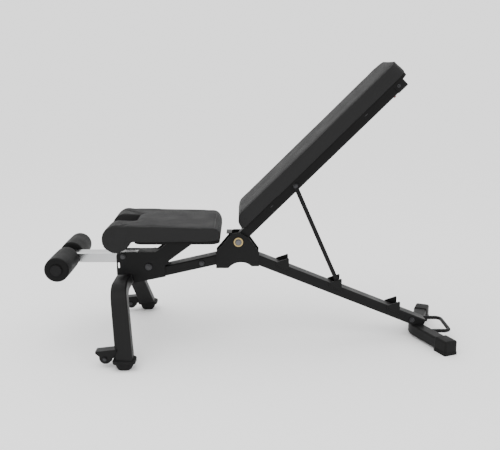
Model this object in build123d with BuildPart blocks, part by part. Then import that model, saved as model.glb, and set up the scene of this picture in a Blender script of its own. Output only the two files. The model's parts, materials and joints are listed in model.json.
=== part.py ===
"""Adjustable weight bench: bent-tube frame, hinged backrest on a three-notch prop, seat and leg brace.

+X points from the leg rollers to the head end, +Y to the right-hand side, +Z up. The origin is on the
floor under the middle of the bench. All sizes are millimetres. "left" is the -Y side.
"""

import os
from math import atan2, cos, degrees, hypot, radians, sin, tan

from build123d import *

os.makedirs("parts", exist_ok=True)

SIDES = {"left": -1, "right": 1}

# the drawing's x values are measured from a point this far behind the middle of the bench
middle = -9

# ---------------------------------------------------------------- driving dimensions
# rectangular tube and plate that the frame is made of
tube_width = 60
tube_height = 38
tube_wall = 2
tube_corner = 5
plate = 4
plate_inner = tube_width / 2
plate_outer = plate_inner + plate
running_clearance = 0.05

# main beam: one tube, bent over its apex
beam_apex_x = -56 - middle
beam_apex_z = 337
beam_front_slope = 12.7
beam_rear_slope = 22.05
beam_bend_radius = 249
beam_front_x = -476 - middle
beam_rear_x = 648 - middle
beam_bolt_radius = 4
beam_bolt_x = (-212 - middle, 601 - middle)

# backrest pivot and recline angle
pivot_x = -72 - middle
pivot_z = 385
recline = 44.7
pivot_bolt_radius = 8
bushing_radius = 17.5

# backrest, measured along and across its tube from the pivot
back_tube_width = 45
back_tube_low = -17
back_tube_high = 21
back_tube_start = -22
back_tube_end = 843
end_cap_length = 40
end_cap_wall = 2.5
pad_start = 55
pad_end = 858
board_face = 28
cushion_face = 38
pad_top = 89
pad_width = 280
pad_corner = 45
pad_end_radius = 14
pad_nose_radius = 49
pad_bracket_places = (190, 660)
button_along = 786

# prop strut between the backrest and the notches
prop_pivot_along = 301
prop_pivot_across = 2.3
prop_bolt_radius = 6
prop_arm_inner = 23.5
prop_arm_thickness = 5
prop_arm_width = 16
prop_eye_radius = 12.5
prop_foot_radius = 9
prop_tie_along = 250

# notch brackets on the beam, by the x of their rear edges
notch_rear = {"upright": 120 - middle, "incline": 323 - middle, "flat": 551 - middle}
notch_length = 47
notch_wall_height = 14
notch_clearance = 0.6

# front stabiliser: a bent tube whose plane leans back towards its feet
stabiliser_x = -508 - middle
stabiliser_z = 236
stabiliser_lean = 11
leg_corner_y = 153
leg_foot_y = 304
leg_foot_z = 33
leg_bend_radius = 100
front_foot_length = 80
front_foot_width = 62

# rear stabiliser: a low tube, swept back from its middle
rear_bar_x = 616 - middle
rear_bar_z = 28
rear_bar_width = 48
rear_bar_height = 44
rear_bar_corner = 8
rear_bar_sweep = 23
rear_bar_half = 206
rear_bend_radius = 70
handle_z = 42
handle_radius = 7
handle_half = 72
handle_x = 739 - middle

# leg brace: a bar with two foam rollers, sliding in a socket between the hub plates
brace_z = 324
brace_width = 54
brace_front_x = -740 - middle
brace_rear_x = -372 - middle
socket_front_x = -454 - middle
socket_rear_x = -350 - middle
socket_height = 44
socket_wall = 2.5
roller_x = -719 - middle
roller_radius = 45
roller_start = 31
roller_end = 196.5
axle_radius = 12.5
axle_wall = 2
roller_clearance = 0.08
hub_bolt_place = (-413 - middle, 289.5)
hub_bolt_radius = 5
guide_bolt_place = (-509 - middle, 330)
guide_bolt_radius = 5
lock_pin_x = -400 - middle
lock_pin_radius = 4

# seat
seat_width = 340
seat_nose_x = -513 - middle
seat_nose_radius = 50
seat_nose_top = 478.5
seat_rear_top = 469
seat_rear_x = -133 - middle
seat_rear_radius = 34
seat_slot_half = 54
seat_slot_end = -453 - middle
seat_board_z = 408
seat_cushion_z = 418
seat_board_front = -449 - middle
seat_board_rear = -139 - middle
seat_mount_z = 402
seat_mount_front = -300 - middle
seat_mount_rear = -218 - middle
seat_bolt_radius = 4

# transport wheels and their housings
wheel_x = -538 - middle
wheel_y = 290
wheel_z = 34.5
wheel_radius = 22
wheel_half_width = 12
wheel_bolt_radius = 4
housing_inner = 15
housing_outer = 18


# ---------------------------------------------------------------- geometry that follows from them
def beam_top(x):
    """Height of the top face of the beam's straight rear run at x."""
    half = tube_height / 2 / cos(radians(beam_rear_slope))
    return beam_apex_z - (x - beam_apex_x) * tan(radians(beam_rear_slope)) + half


def beam_middle(x):
    """Height of the beam's centre line on its straight runs at x."""
    slope = beam_rear_slope if x > beam_apex_x else -beam_front_slope
    return beam_apex_z - (x - beam_apex_x) * tan(radians(slope))


def notch_centre(name):
    """Centre (x, z) of the prop's foot when it sits in a notch."""
    x = notch_rear[name] - plate - notch_clearance - prop_foot_radius
    rise = (prop_foot_radius + notch_clearance) / cos(radians(beam_rear_slope))
    return x, beam_top(x) + rise


def on_back(along, across):
    """Place (x, z) of a point given along and across the backrest tube from its pivot."""
    angle = radians(recline)
    x = pivot_x + along * cos(angle) - across * sin(angle)
    z = pivot_z + along * sin(angle) + across * cos(angle)
    return x, z


prop_pivot_x, prop_pivot_z = on_back(prop_pivot_along, prop_pivot_across)
foot_x, foot_z = notch_centre("incline")
prop_length = hypot(foot_x - prop_pivot_x, foot_z - prop_pivot_z)
prop_angle = degrees(atan2(foot_z - prop_pivot_z, foot_x - prop_pivot_x))
prop_arm_outer = prop_arm_inner + prop_arm_thickness
back_half = back_tube_width / 2
back_middle = (back_tube_high + back_tube_low) / 2
back_height = back_tube_high - back_tube_low

# backrest planes: x along the tube; BACK has y away from the tube, BACK_FACE has its normal that way
BACK = Plane(
    origin=(pivot_x, 0, pivot_z), x_dir=(cos(radians(recline)), 0, sin(radians(recline))), z_dir=(0, -1, 0)
)
BACK_FACE = Plane(origin=BACK.origin, x_dir=BACK.x_dir, z_dir=BACK.y_dir)
BACK_SECTION = Plane(origin=BACK.origin, x_dir=(0, 1, 0), z_dir=BACK.x_dir)
# prop plane: x from the prop's pivot to its foot
PROP = Plane(
    origin=(prop_pivot_x, 0, prop_pivot_z),
    x_dir=(cos(radians(prop_angle)), 0, sin(radians(prop_angle))),
    z_dir=(0, -1, 0),
)
# plane that the front stabiliser is bent in: x along +Y, y up
LEGS = Plane(
    origin=(stabiliser_x, 0, stabiliser_z),
    x_dir=(0, 1, 0),
    z_dir=(cos(radians(stabiliser_lean)), 0, sin(radians(stabiliser_lean))),
)


def side_plane(y):
    """Vertical plane at y whose sketch axes are X and Z and whose normal is -Y."""
    return Plane(origin=(0, y, 0), x_dir=(1, 0, 0), z_dir=(0, -1, 0))


def outer_plane(side, inner, outer):
    """Side plane to extrude from, towards -Y, so that a piece fills |Y| from inner to outer."""
    return side_plane(max(side * inner, side * outer))


def cross_bolt(x, z, reach, radius, head_radius, head_height):
    """Bolt along Y through (x, z): a shank between |Y| = reach with a chamfered head at each end."""
    with BuildPart() as bolt:
        with BuildSketch(side_plane(reach)):
            with Locations((x, z)):
                Circle(radius)
        extrude(amount=2 * reach)
        for side in SIDES.values():
            with BuildSketch(outer_plane(side, reach, reach + head_height)):
                with Locations((x, z)):
                    Circle(head_radius)
            extrude(amount=head_height)
        ends = bolt.faces().filter_by(Axis.Y).sort_by(Axis.Y)
        chamfer(ends[0].edges() + ends[-1].edges(), head_height * 0.2)
    return bolt.part


def ring(x, z, inner, outer, radius, bore):
    """Ring round the Y axis direction at (x, z), from y = inner to outer."""
    with BuildPart() as solid_ring:
        with BuildSketch(side_plane(outer)):
            with Locations((x, z)):
                Circle(radius)
                Circle(bore, mode=Mode.SUBTRACT)
        extrude(amount=outer - inner)
    return solid_ring.part


# ---------------------------------------------------------------- bent tubes of the frame
def swept_bar(path, across, width, height, corner):
    """Solid bar of rounded rectangular section along a path; across is the way its width lies."""
    with BuildPart() as bar:
        with BuildSketch(Plane(origin=path @ 0, x_dir=across, z_dir=path % 0)):
            RectangleRounded(width, height, corner)
        sweep(path=path)
    return bar.part


def leg_path(extra):
    """Centre line of the front stabiliser, its ends lengthened by extra."""
    drop = (stabiliser_z - leg_foot_z) / cos(radians(stabiliser_lean)) + extra
    end_y = leg_foot_y + 0.74 * extra
    with BuildLine(LEGS) as path:
        FilletPolyline(
            (-end_y, -drop), (-leg_corner_y, 0), (leg_corner_y, 0), (end_y, -drop), radius=leg_bend_radius
        )
    return path.wire()


def rear_path():
    """Centre line of the rear stabiliser."""
    end_x = rear_bar_x + rear_bar_half * tan(radians(rear_bar_sweep))
    with BuildLine(Plane.XY.offset(rear_bar_z)) as path:
        FilletPolyline(
            (end_x, -rear_bar_half), (rear_bar_x, 0), (end_x, rear_bar_half), radius=rear_bend_radius
        )
    return path.wire()


def beam_path():
    """Centre line of the main beam."""
    with BuildLine(Plane.XZ) as path:
        FilletPolyline(
            (beam_front_x, beam_middle(beam_front_x)),
            (beam_apex_x, beam_apex_z),
            (beam_rear_x, beam_middle(beam_rear_x)),
            radius=beam_bend_radius,
        )
    return path.wire()


bore_width = tube_width - 2 * tube_wall
bore_height = tube_height - 2 * tube_wall
bore_corner = tube_corner - tube_wall
front_bar = swept_bar(leg_path(16), LEGS.z_dir, tube_width, tube_height, tube_corner)
front_bore = swept_bar(leg_path(40), LEGS.z_dir, bore_width, bore_height, bore_corner)
rear_bar = swept_bar(rear_path(), (0, 0, 1), rear_bar_height, rear_bar_width, rear_bar_corner)
rear_bore = swept_bar(
    rear_path(),
    (0, 0, 1),
    rear_bar_height - 2 * tube_wall,
    rear_bar_width - 2 * tube_wall,
    rear_bar_corner - tube_wall,
)
beam_bar = swept_bar(beam_path(), (0, 1, 0), tube_width, tube_height, tube_corner)
beam_bore = swept_bar(beam_path(), (0, 1, 0), bore_width, bore_height, bore_corner)

with BuildPart() as front_stabiliser:
    add(front_bar)
    # the ends are cut level, where the foot caps take them
    with BuildSketch(Plane.XY.offset(leg_foot_z)):
        with Locations((stabiliser_x, 0)):
            Rectangle(400, 900)
    extrude(amount=-100, mode=Mode.SUBTRACT)
    leg_end = front_stabiliser.faces().filter_by(Axis.Z).group_by(Axis.Z)[0].sort_by(Axis.Y)[-1].center()
    legs_solid = front_stabiliser.part
    add(front_bore, mode=Mode.SUBTRACT)
front_stabiliser.part.label = "front_stabiliser"
export_step(front_stabiliser.part, "parts/front_stabiliser.step")

with BuildPart() as rear_stabiliser:
    add(rear_bar)
    add(rear_bore, mode=Mode.SUBTRACT)
rear_stabiliser.part.label = "rear_stabiliser"
export_step(rear_stabiliser.part, "parts/rear_stabiliser.step")

with BuildPart() as beam_blank:
    add(beam_bar)
    add(beam_bore, mode=Mode.SUBTRACT)
    add(front_bar, mode=Mode.SUBTRACT)
    add(rear_bar, mode=Mode.SUBTRACT)
    with BuildSketch(side_plane(plate_outer)):
        for bolt_x in beam_bolt_x:
            with Locations((bolt_x, beam_middle(bolt_x))):
                Circle(beam_bolt_radius)
    extrude(amount=2 * plate_outer, mode=Mode.SUBTRACT)
with BuildPart() as main_beam:
    add(beam_blank.solids().sort_by(SortBy.VOLUME)[-1])
main_beam.part.label = "main_beam"
export_step(main_beam.part, "parts/main_beam.step")

with BuildPart() as beam_bolts:
    for bolt_x in beam_bolt_x:
        add(cross_bolt(bolt_x, beam_middle(bolt_x), plate_inner, beam_bolt_radius, 10, 4))
beam_bolts.part.label = "beam_bolts"
export_step(beam_bolts.part, "parts/beam_bolts.step")

# ---------------------------------------------------------------- apex gussets and hub plates
gusset_left = -157 - middle
gusset_right = 6 - middle
for side_name, side in SIDES.items():
    # apex plate that carries the backrest pivot, arched underneath
    with BuildPart() as gusset:
        with BuildSketch(outer_plane(side, plate_inner, plate_outer)):
            with BuildLine():
                Polyline((gusset_left, 283), (gusset_left, 345), (gusset_left + 61, 417))
                ThreePointArc((gusset_left + 61, 417), (gusset_left + 63, 419), (gusset_left + 66, 420))
                Polyline(
                    (gusset_left + 66, 420),
                    (gusset_left + 93, 420),
                    (gusset_left + 124, 401),
                    (gusset_right, 346),
                    (gusset_right, 290),
                    (gusset_right - 28, 290),
                )
                ThreePointArc(
                    (gusset_right - 28, 290), (gusset_right - 70, 306), (gusset_right - 116, 283)
                )
                Line((gusset_right - 116, 283), (gusset_left, 283))
            make_face()
            with Locations((pivot_x, pivot_z)):
                Circle(pivot_bolt_radius + running_clearance, mode=Mode.SUBTRACT)
        extrude(amount=plate)
    gusset.part.label = f"gusset_plate_{side_name}"
    export_step(gusset.part, f"parts/gusset_plate_{side_name}.step")

    # hub plate: joins beam, front stabiliser and leg brace, with an arm up to the seat
    hub_left = -534 - middle
    hub_right = -350 - middle
    with BuildPart() as hub_plate:
        with BuildSketch(outer_plane(side, plate_inner, plate_outer)):
            with BuildLine():
                Polyline((hub_left, 258), (hub_left, 331))
                ThreePointArc((hub_left, 331), (hub_left + 4.4, 341.6), (hub_left + 15, 346))
                Polyline(
                    (hub_left + 15, 346),
                    (hub_left + 148, 346),
                    (hub_left + 220, seat_mount_z),
                    (seat_mount_rear, seat_mount_z),
                    (seat_mount_rear - 26, 380),
                    (hub_right + 14, 312),
                    (hub_right + 12, 298),
                    (hub_right, 296),
                    (hub_right, 250),
                    (hub_left + 115, 236),
                    (hub_left + 62, 225),
                    (hub_left + 62, 258),
                    (hub_left, 258),
                )
            make_face()
            with Locations((hub_left + 9, 295)):
                SlotOverall(22, 8, rotation=90, mode=Mode.SUBTRACT)
            with Locations(guide_bolt_place):
                Circle(guide_bolt_radius, mode=Mode.SUBTRACT)
            with Locations(hub_bolt_place):
                Circle(hub_bolt_radius, mode=Mode.SUBTRACT)
            if side > 0:
                with Locations((lock_pin_x, brace_z)):
                    Circle(lock_pin_radius + running_clearance, mode=Mode.SUBTRACT)
        extrude(amount=plate)
        add(front_bar, mode=Mode.SUBTRACT)
    hub_plate.part.label = f"hub_plate_{side_name}"
    export_step(hub_plate.part, f"parts/hub_plate_{side_name}.step")

# strip that ties the tops of the two gussets
with BuildPart() as gusset_bridge:
    with BuildSketch(Plane.XY.offset(417)):
        with Locations((gusset_left + 50, 0)):
            Rectangle(20, 2 * plate_inner)
    extrude(amount=3)
gusset_bridge.part.label = "gusset_bridge"
export_step(gusset_bridge.part, "parts/gusset_bridge.step")

# one bolt under the socket through both plates, and two short guide bolts beside the brace bar
with BuildPart() as hub_bolts:
    add(cross_bolt(*hub_bolt_place, plate_outer, hub_bolt_radius, 13, 6))
    for side in SIDES.values():
        with BuildSketch(outer_plane(side, plate_inner - 2, plate_outer)):
            with Locations(guide_bolt_place):
                Circle(guide_bolt_radius)
        extrude(amount=plate + 2)
        with BuildSketch(outer_plane(side, plate_outer, plate_outer + 5)):
            with Locations(guide_bolt_place):
                Circle(10)
        extrude(amount=5)
hub_bolts.part.label = "hub_bolts"
export_step(hub_bolts.part, "parts/hub_bolts.step")

# ---------------------------------------------------------------- notch brackets
for name, rear in notch_rear.items():
    level = beam_top(rear)
    front = rear - notch_length
    with BuildPart() as bracket:
        for side in SIDES.values():
            with BuildSketch(outer_plane(side, plate_inner, plate_outer)):
                with BuildLine():
                    Polyline(
                        (front, beam_top(front)),
                        (front + 10, beam_top(front + 10) + 8),
                        (rear - 12, level + 31),
                        (rear - 3, level + 35),
                        (rear, level + 32),
                        (rear, level - 14),
                        (front, beam_top(front) - 14),
                        close=True,
                    )
                make_face()
            extrude(amount=plate)
        # low stop wall behind the prop's foot
        with BuildSketch(side_plane(plate_inner)):
            with BuildLine():
                Polyline(
                    (rear - plate, beam_top(rear - plate)),
                    (rear, level),
                    (rear, level + notch_wall_height),
                    (rear - plate, level + notch_wall_height),
                    close=True,
                )
            make_face()
        extrude(amount=2 * plate_inner)
    bracket.part.label = f"notch_bracket_{name}"
    export_step(bracket.part, f"parts/notch_bracket_{name}.step")

# ---------------------------------------------------------------- front feet and wheels
for side_name, side in SIDES.items():
    # foot: a cap round the cut end of the leg, with a rounded pad under it
    foot_y = side * (leg_end.Y + 7)
    with BuildPart() as front_foot:
        with BuildSketch(Plane.XY.offset(27)):
            with Locations((leg_end.X, foot_y)):
                RectangleRounded(front_foot_length, front_foot_width, 16)
        extrude(amount=10)
        fillet(front_foot.edges().group_by(Axis.Z)[-1], 2.5)
        with BuildSketch():
            with Locations((leg_end.X, foot_y)):
                RectangleRounded(38, 32, 12)
        with BuildSketch(Plane.XY.offset(9)):
            with Locations((leg_end.X, foot_y)):
                RectangleRounded(54, 46, 17)
        with BuildSketch(Plane.XY.offset(27)):
            with Locations((leg_end.X, foot_y)):
                RectangleRounded(60, 50, 18)
        loft()
        add(legs_solid, mode=Mode.SUBTRACT)
    front_foot.part.label = f"front_foot_{side_name}"
    export_step(front_foot.part, f"parts/front_foot_{side_name}.step")

    # wheel, turning on a bolt between the cheeks of its housing
    inner = min(side * (wheel_y - wheel_half_width), side * (wheel_y + wheel_half_width))
    with BuildPart() as wheel:
        add(ring(wheel_x, wheel_z, inner, inner + 2 * wheel_half_width, wheel_radius,
                 wheel_bolt_radius + running_clearance))
        fillet(wheel.edges().filter_by(GeomType.CIRCLE).group_by(SortBy.RADIUS)[-1], 4)
    wheel.part.label = f"wheel_{side_name}"
    export_step(wheel.part, f"parts/wheel_{side_name}.step")

    # housing: a hood open below, with a foot that meets the leg
    with BuildPart() as housing:
        with BuildSketch(outer_plane(side, wheel_y - housing_outer, wheel_y + housing_outer)):
            with BuildLine():
                Polyline(
                    (wheel_x - 33, wheel_z + 20),
                    (wheel_x - 33, wheel_z + 27),
                    (wheel_x + 40, wheel_z + 35),
                    (wheel_x + 40, wheel_z + 4),
                    (wheel_x + 27, wheel_z + 4),
                    (wheel_x + 24, wheel_z - 7),
                    (wheel_x + 6, wheel_z - 10),
                    (wheel_x - 8, wheel_z - 9),
                    (wheel_x - 13, wheel_z + 3),
                    close=True,
                )
            make_face()
        extrude(amount=2 * housing_outer)
        with BuildSketch(outer_plane(side, wheel_y - housing_inner, wheel_y + housing_inner)):
            with Locations((wheel_x - 2.5, wheel_z - 10)):
                Rectangle(55, 70)
        extrude(amount=2 * housing_inner, mode=Mode.SUBTRACT)
        with BuildSketch(outer_plane(side, wheel_y - housing_outer, wheel_y + housing_outer)):
            with Locations((wheel_x, wheel_z)):
                Circle(wheel_bolt_radius)
        extrude(amount=2 * housing_outer, mode=Mode.SUBTRACT)
        add(legs_solid, mode=Mode.SUBTRACT)
    with BuildPart() as housing_kept:
        add(housing.solids().sort_by(SortBy.VOLUME)[-1])
    housing_kept.part.label = f"wheel_housing_{side_name}"
    export_step(housing_kept.part, f"parts/wheel_housing_{side_name}.step")

with BuildPart() as wheel_bolts:
    for side in SIDES.values():
        near = wheel_y - housing_outer
        far = wheel_y + housing_outer
        with BuildSketch(outer_plane(side, near, far)):
            with Locations((wheel_x, wheel_z)):
                Circle(wheel_bolt_radius)
        extrude(amount=far - near)
        with BuildSketch(outer_plane(side, far, far + 4), outer_plane(side, near - 4, near)):
            with Locations((wheel_x, wheel_z)):
                Circle(7)
        extrude(amount=4)
wheel_bolts.part.label = "wheel_bolts"
export_step(wheel_bolts.part, "parts/wheel_bolts.step")

# ---------------------------------------------------------------- rear feet and handle
rear_end = rear_path() @ 0
rear_out = (sin(radians(rear_bar_sweep)), -cos(radians(rear_bar_sweep)), 0)
for side_name, side in SIDES.items():
    # rubber cap over the end of the bar, with a wider sole
    out = Vector(rear_out[0], -side * rear_out[1], 0)
    foot_plane = Plane(origin=(rear_end.X, side * rear_bar_half, 0), x_dir=out, z_dir=(0, 0, 1))
    with BuildPart() as rear_foot:
        with BuildSketch(foot_plane):
            with Locations((-29, 0)):
                RectangleRounded(68, 58, 7)
        extrude(amount=9)
        with BuildSketch(foot_plane.offset(9)):
            with Locations((-29, 0)):
                RectangleRounded(66, 54, 7)
        extrude(amount=45)
        fillet(rear_foot.edges().group_by(Axis.Z)[-1], 8)
        add(rear_bar, mode=Mode.SUBTRACT)
    rear_foot.part.label = f"rear_foot_{side_name}"
    export_step(rear_foot.part, f"parts/rear_foot_{side_name}.step")

with BuildPart() as handle_blank:
    with BuildLine(Plane.XY.offset(handle_z)) as handle_path:
        FilletPolyline(
            (rear_bar_x + 10, -handle_half),
            (handle_x, -handle_half),
            (handle_x, handle_half),
            (rear_bar_x + 10, handle_half),
            radius=22,
        )
    with BuildSketch(Plane(origin=handle_path.wire() @ 0, z_dir=handle_path.wire() % 0)):
        Circle(handle_radius)
    sweep(path=handle_path.wire())
    add(rear_bar, mode=Mode.SUBTRACT)
with BuildPart() as rear_handle:
    add(handle_blank.solids().sort_by(Axis.X)[-1])
rear_handle.part.label = "rear_handle"
export_step(rear_handle.part, "parts/rear_handle.step")

# ---------------------------------------------------------------- leg brace
BRACE_SECTION = Plane(origin=(0, 0, brace_z), x_dir=(0, 1, 0), z_dir=(1, 0, 0))
with BuildPart() as leg_brace_socket:
    with BuildSketch(BRACE_SECTION.offset(socket_front_x)):
        RectangleRounded(tube_width, socket_height, tube_corner)
        RectangleRounded(
            tube_width - 2 * socket_wall, socket_height - 2 * socket_wall, tube_corner - socket_wall,
            mode=Mode.SUBTRACT,
        )
    extrude(amount=socket_rear_x - socket_front_x)
    # hole for the lock pin in the right-hand wall
    with BuildSketch(side_plane(plate_inner)):
        with Locations((lock_pin_x, brace_z)):
            Circle(lock_pin_radius + running_clearance)
    extrude(amount=10, mode=Mode.SUBTRACT)
leg_brace_socket.part.label = "leg_brace_socket"
export_step(leg_brace_socket.part, "parts/leg_brace_socket.step")

with BuildPart() as leg_brace_bar:
    with BuildSketch(BRACE_SECTION.offset(brace_front_x)):
        RectangleRounded(brace_width, tube_height, tube_corner)
        RectangleRounded(
            brace_width - 2 * tube_wall, tube_height - 2 * tube_wall, tube_corner - tube_wall,
            mode=Mode.SUBTRACT,
        )
    extrude(amount=brace_rear_x - brace_front_x)
    # cross hole for the roller axle
    with BuildSketch(side_plane(tube_width)):
        with Locations((roller_x, brace_z)):
            Circle(axle_radius)
    extrude(amount=2 * tube_width, mode=Mode.SUBTRACT)
    # row of holes for the lock pin, in the right-hand wall
    with BuildSketch(side_plane(tube_width)):
        with Locations([(lock_pin_x + step, brace_z) for step in (-60, -30, 0)]):
            Circle(lock_pin_radius + 0.5)
    extrude(amount=tube_width, mode=Mode.SUBTRACT)
leg_brace_bar.part.label = "leg_brace_bar"
export_step(leg_brace_bar.part, "parts/leg_brace_bar.step")

with BuildPart() as brace_plug:
    with BuildSketch(BRACE_SECTION.offset(brace_front_x - 4)):
        RectangleRounded(brace_width, tube_height, tube_corner)
    extrude(amount=4)
    with BuildSketch(BRACE_SECTION.offset(brace_front_x)):
        RectangleRounded(
            brace_width - 2 * tube_wall, tube_height - 2 * tube_wall, tube_corner - tube_wall
        )
    extrude(amount=5)
brace_plug.part.label = "leg_brace_plug"
export_step(brace_plug.part, "parts/leg_brace_plug.step")

with BuildPart() as roller_axle:
    add(ring(roller_x, brace_z, -roller_end, roller_end, axle_radius, axle_radius - axle_wall))
roller_axle.part.label = "roller_axle"
export_step(roller_axle.part, "parts/roller_axle.step")

for side_name, side in SIDES.items():
    inner = min(side * roller_start, side * roller_end)
    with BuildPart() as foam_roller:
        add(ring(roller_x, brace_z, inner, inner + roller_end - roller_start, roller_radius,
                 axle_radius + roller_clearance))
        fillet(foam_roller.edges().filter_by(GeomType.CIRCLE).group_by(SortBy.RADIUS)[-1], 5)
    foam_roller.part.label = f"foam_roller_{side_name}"
    export_step(foam_roller.part, f"parts/foam_roller_{side_name}.step")

    # cap pushed into the end of the axle
    with BuildPart() as roller_cap:
        with BuildSketch(outer_plane(side, roller_end + 0.5, roller_end + 4.5)):
            with Locations((roller_x, brace_z)):
                Circle(20)
        extrude(amount=4)
        outer_face = roller_cap.faces().filter_by(Axis.Y).sort_by(Axis.Y)[-1 if side > 0 else 0]
        fillet(outer_face.edges(), 1.5)
        with BuildSketch(outer_plane(side, roller_end - 12, roller_end + 0.5)):
            with Locations((roller_x, brace_z)):
                Circle(axle_radius - axle_wall)
        extrude(amount=12.5)
    roller_cap.part.label = f"roller_cap_{side_name}"
    export_step(roller_cap.part, f"parts/roller_cap_{side_name}.step")

# lock pin in a threaded barrel on the right-hand hub plate
with BuildPart() as lock_barrel:
    add(ring(lock_pin_x, brace_z, plate_outer, plate_outer + 22, 10, lock_pin_radius + running_clearance))
    barrel_ends = lock_barrel.edges().filter_by(GeomType.CIRCLE).group_by(Axis.Y)
    chamfer(barrel_ends[-1].sort_by(SortBy.RADIUS)[-1], 1.5)
lock_barrel.part.label = "lock_pin_barrel"
export_step(lock_barrel.part, "parts/lock_pin_barrel.step")

with BuildPart() as lock_pin:
    pin_tip = brace_width / 2 + 0.4
    knob_face = plate_outer + 22.5
    add(ring(lock_pin_x, brace_z, pin_tip, knob_face, lock_pin_radius, 0.5))
    with BuildSketch(side_plane(knob_face + 22)):
        with Locations((lock_pin_x, brace_z)):
            Circle(13)
    extrude(amount=22)
    fillet(lock_pin.edges().filter_by(GeomType.CIRCLE).group_by(Axis.Y)[-1], 5)
lock_pin.part.label = "lock_pin"
export_step(lock_pin.part, "parts/lock_pin.step")

# ---------------------------------------------------------------- seat
slot_middle = (seat_nose_x - seat_nose_radius - 20 + seat_slot_end) / 2
slot_length = seat_slot_end - (seat_nose_x - seat_nose_radius - 20)
seat_bolt_places = [
    (x, y) for x in (seat_mount_front + 18, seat_mount_rear - 18) for y in (-75, 75)
]
with BuildPart() as seat_mount_plate:
    with BuildSketch(Plane.XY.offset(seat_mount_z)):
        with Locations(((seat_mount_front + seat_mount_rear) / 2, 0)):
            RectangleRounded(seat_mount_rear - seat_mount_front, 190, 6)
        with Locations(seat_bolt_places):
            Circle(seat_bolt_radius, mode=Mode.SUBTRACT)
    extrude(amount=seat_board_z - seat_mount_z)
seat_mount_plate.part.label = "seat_mount_plate"
export_step(seat_mount_plate.part, "parts/seat_mount_plate.step")

with BuildPart() as seat_board:
    with BuildSketch(Plane.XY.offset(seat_board_z)):
        with Locations(((seat_board_front + seat_board_rear) / 2, 0)):
            RectangleRounded(seat_board_rear - seat_board_front, seat_width - 24, 36)
        with Locations(seat_bolt_places):
            Circle(seat_bolt_radius, mode=Mode.SUBTRACT)
    extrude(amount=seat_cushion_z - seat_board_z)
seat_board.part.label = "seat_board"
export_step(seat_board.part, "parts/seat_board.step")

with BuildPart() as seat_bolts:
    with BuildSketch(Plane.XY.offset(seat_mount_z)):
        with Locations(seat_bolt_places):
            Circle(seat_bolt_radius)
    extrude(amount=seat_cushion_z - seat_mount_z)
    with BuildSketch(Plane.XY.offset(seat_mount_z)):
        with Locations(seat_bolt_places):
            RegularPolygon(7.5, 6)
    extrude(amount=-5)
seat_bolts.part.label = "seat_bolts"
export_step(seat_bolts.part, "parts/seat_bolts.step")

# cushion: side profile with a rolled nose, cut to the plan outline
nose_z = seat_nose_top - seat_nose_radius
with BuildPart() as seat_cushion:
    with BuildSketch(side_plane(seat_width / 2)):
        with BuildLine():
            Line((seat_nose_x, seat_nose_top), (seat_rear_x - seat_rear_radius, seat_rear_top))
            RadiusArc(
                (seat_rear_x - seat_rear_radius, seat_rear_top),
                (seat_rear_x, seat_rear_top - seat_rear_radius),
                seat_rear_radius,
            )
            Polyline(
                (seat_rear_x, seat_rear_top - seat_rear_radius),
                (seat_rear_x, seat_cushion_z),
                (seat_nose_x + 53, seat_cushion_z),
                (seat_nose_x + 50, seat_board_z - 2),
                (seat_nose_x + 35, seat_board_z - 20),
                (seat_nose_x + 13, nose_z - seat_nose_radius + 1),
                (seat_nose_x, nose_z - seat_nose_radius),
            )
            RadiusArc((seat_nose_x, nose_z - seat_nose_radius), (seat_nose_x - seat_nose_radius, nose_z),
                      seat_nose_radius)
            RadiusArc((seat_nose_x - seat_nose_radius, nose_z), (seat_nose_x, seat_nose_top),
                      seat_nose_radius)
        make_face()
    extrude(amount=seat_width)
    front_edge = seat_nose_x - seat_nose_radius
    with BuildSketch(Plane.XY.offset(300)) as seat_plan:
        with Locations(((front_edge + seat_rear_x) / 2, 0)):
            Rectangle(seat_rear_x - front_edge, seat_width)
        with Locations((slot_middle, 0)):
            Rectangle(slot_length, 2 * seat_slot_half, mode=Mode.SUBTRACT)
        corners = seat_plan.vertices()
        fillet(corners.group_by(Axis.X)[-1], 47)
        front_corners = corners.group_by(Axis.X)[0].group_by(Axis.Y)
        fillet(front_corners[0] + front_corners[-1], 66)
        slot_ends = corners.filter_by_position(Axis.X, seat_slot_end - 1, seat_slot_end + 1)
        fillet(slot_ends, 22)
    extrude(amount=300, mode=Mode.INTERSECT)
seat_cushion.part.label = "seat_cushion"
export_step(seat_cushion.part, "parts/seat_cushion.step")

# ---------------------------------------------------------------- backrest pivot
with BuildPart() as pivot_bushings:
    for side in SIDES.values():
        inner = min(side * plate_outer, side * (plate_outer + 3.5))
        add(ring(pivot_x, pivot_z, inner, inner + 3.5, bushing_radius, 12.5))
pivot_bushings.part.label = "pivot_bushings"
export_step(pivot_bushings.part, "parts/pivot_bushings.step")

with BuildPart() as pivot_bolt:
    add(cross_bolt(pivot_x, pivot_z, plate_outer + 0.3, pivot_bolt_radius, 12, 3.8))
    # hexagon sockets in both heads
    with BuildSketch(side_plane(plate_outer + 4.1), side_plane(-plate_outer - 1.6)):
        with Locations((pivot_x, pivot_z)):
            RegularPolygon(5, 6)
    extrude(amount=2.5, mode=Mode.SUBTRACT)
pivot_bolt.part.label = "pivot_bolt"
export_step(pivot_bolt.part, "parts/pivot_bolt.step")

with BuildPart() as pivot_sleeve:
    add(ring(pivot_x, pivot_z, -plate_inner + 0.5, plate_inner - 0.5, 12,
             pivot_bolt_radius + running_clearance))
pivot_sleeve.part.label = "pivot_sleeve"
export_step(pivot_sleeve.part, "parts/pivot_sleeve.step")

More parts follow.
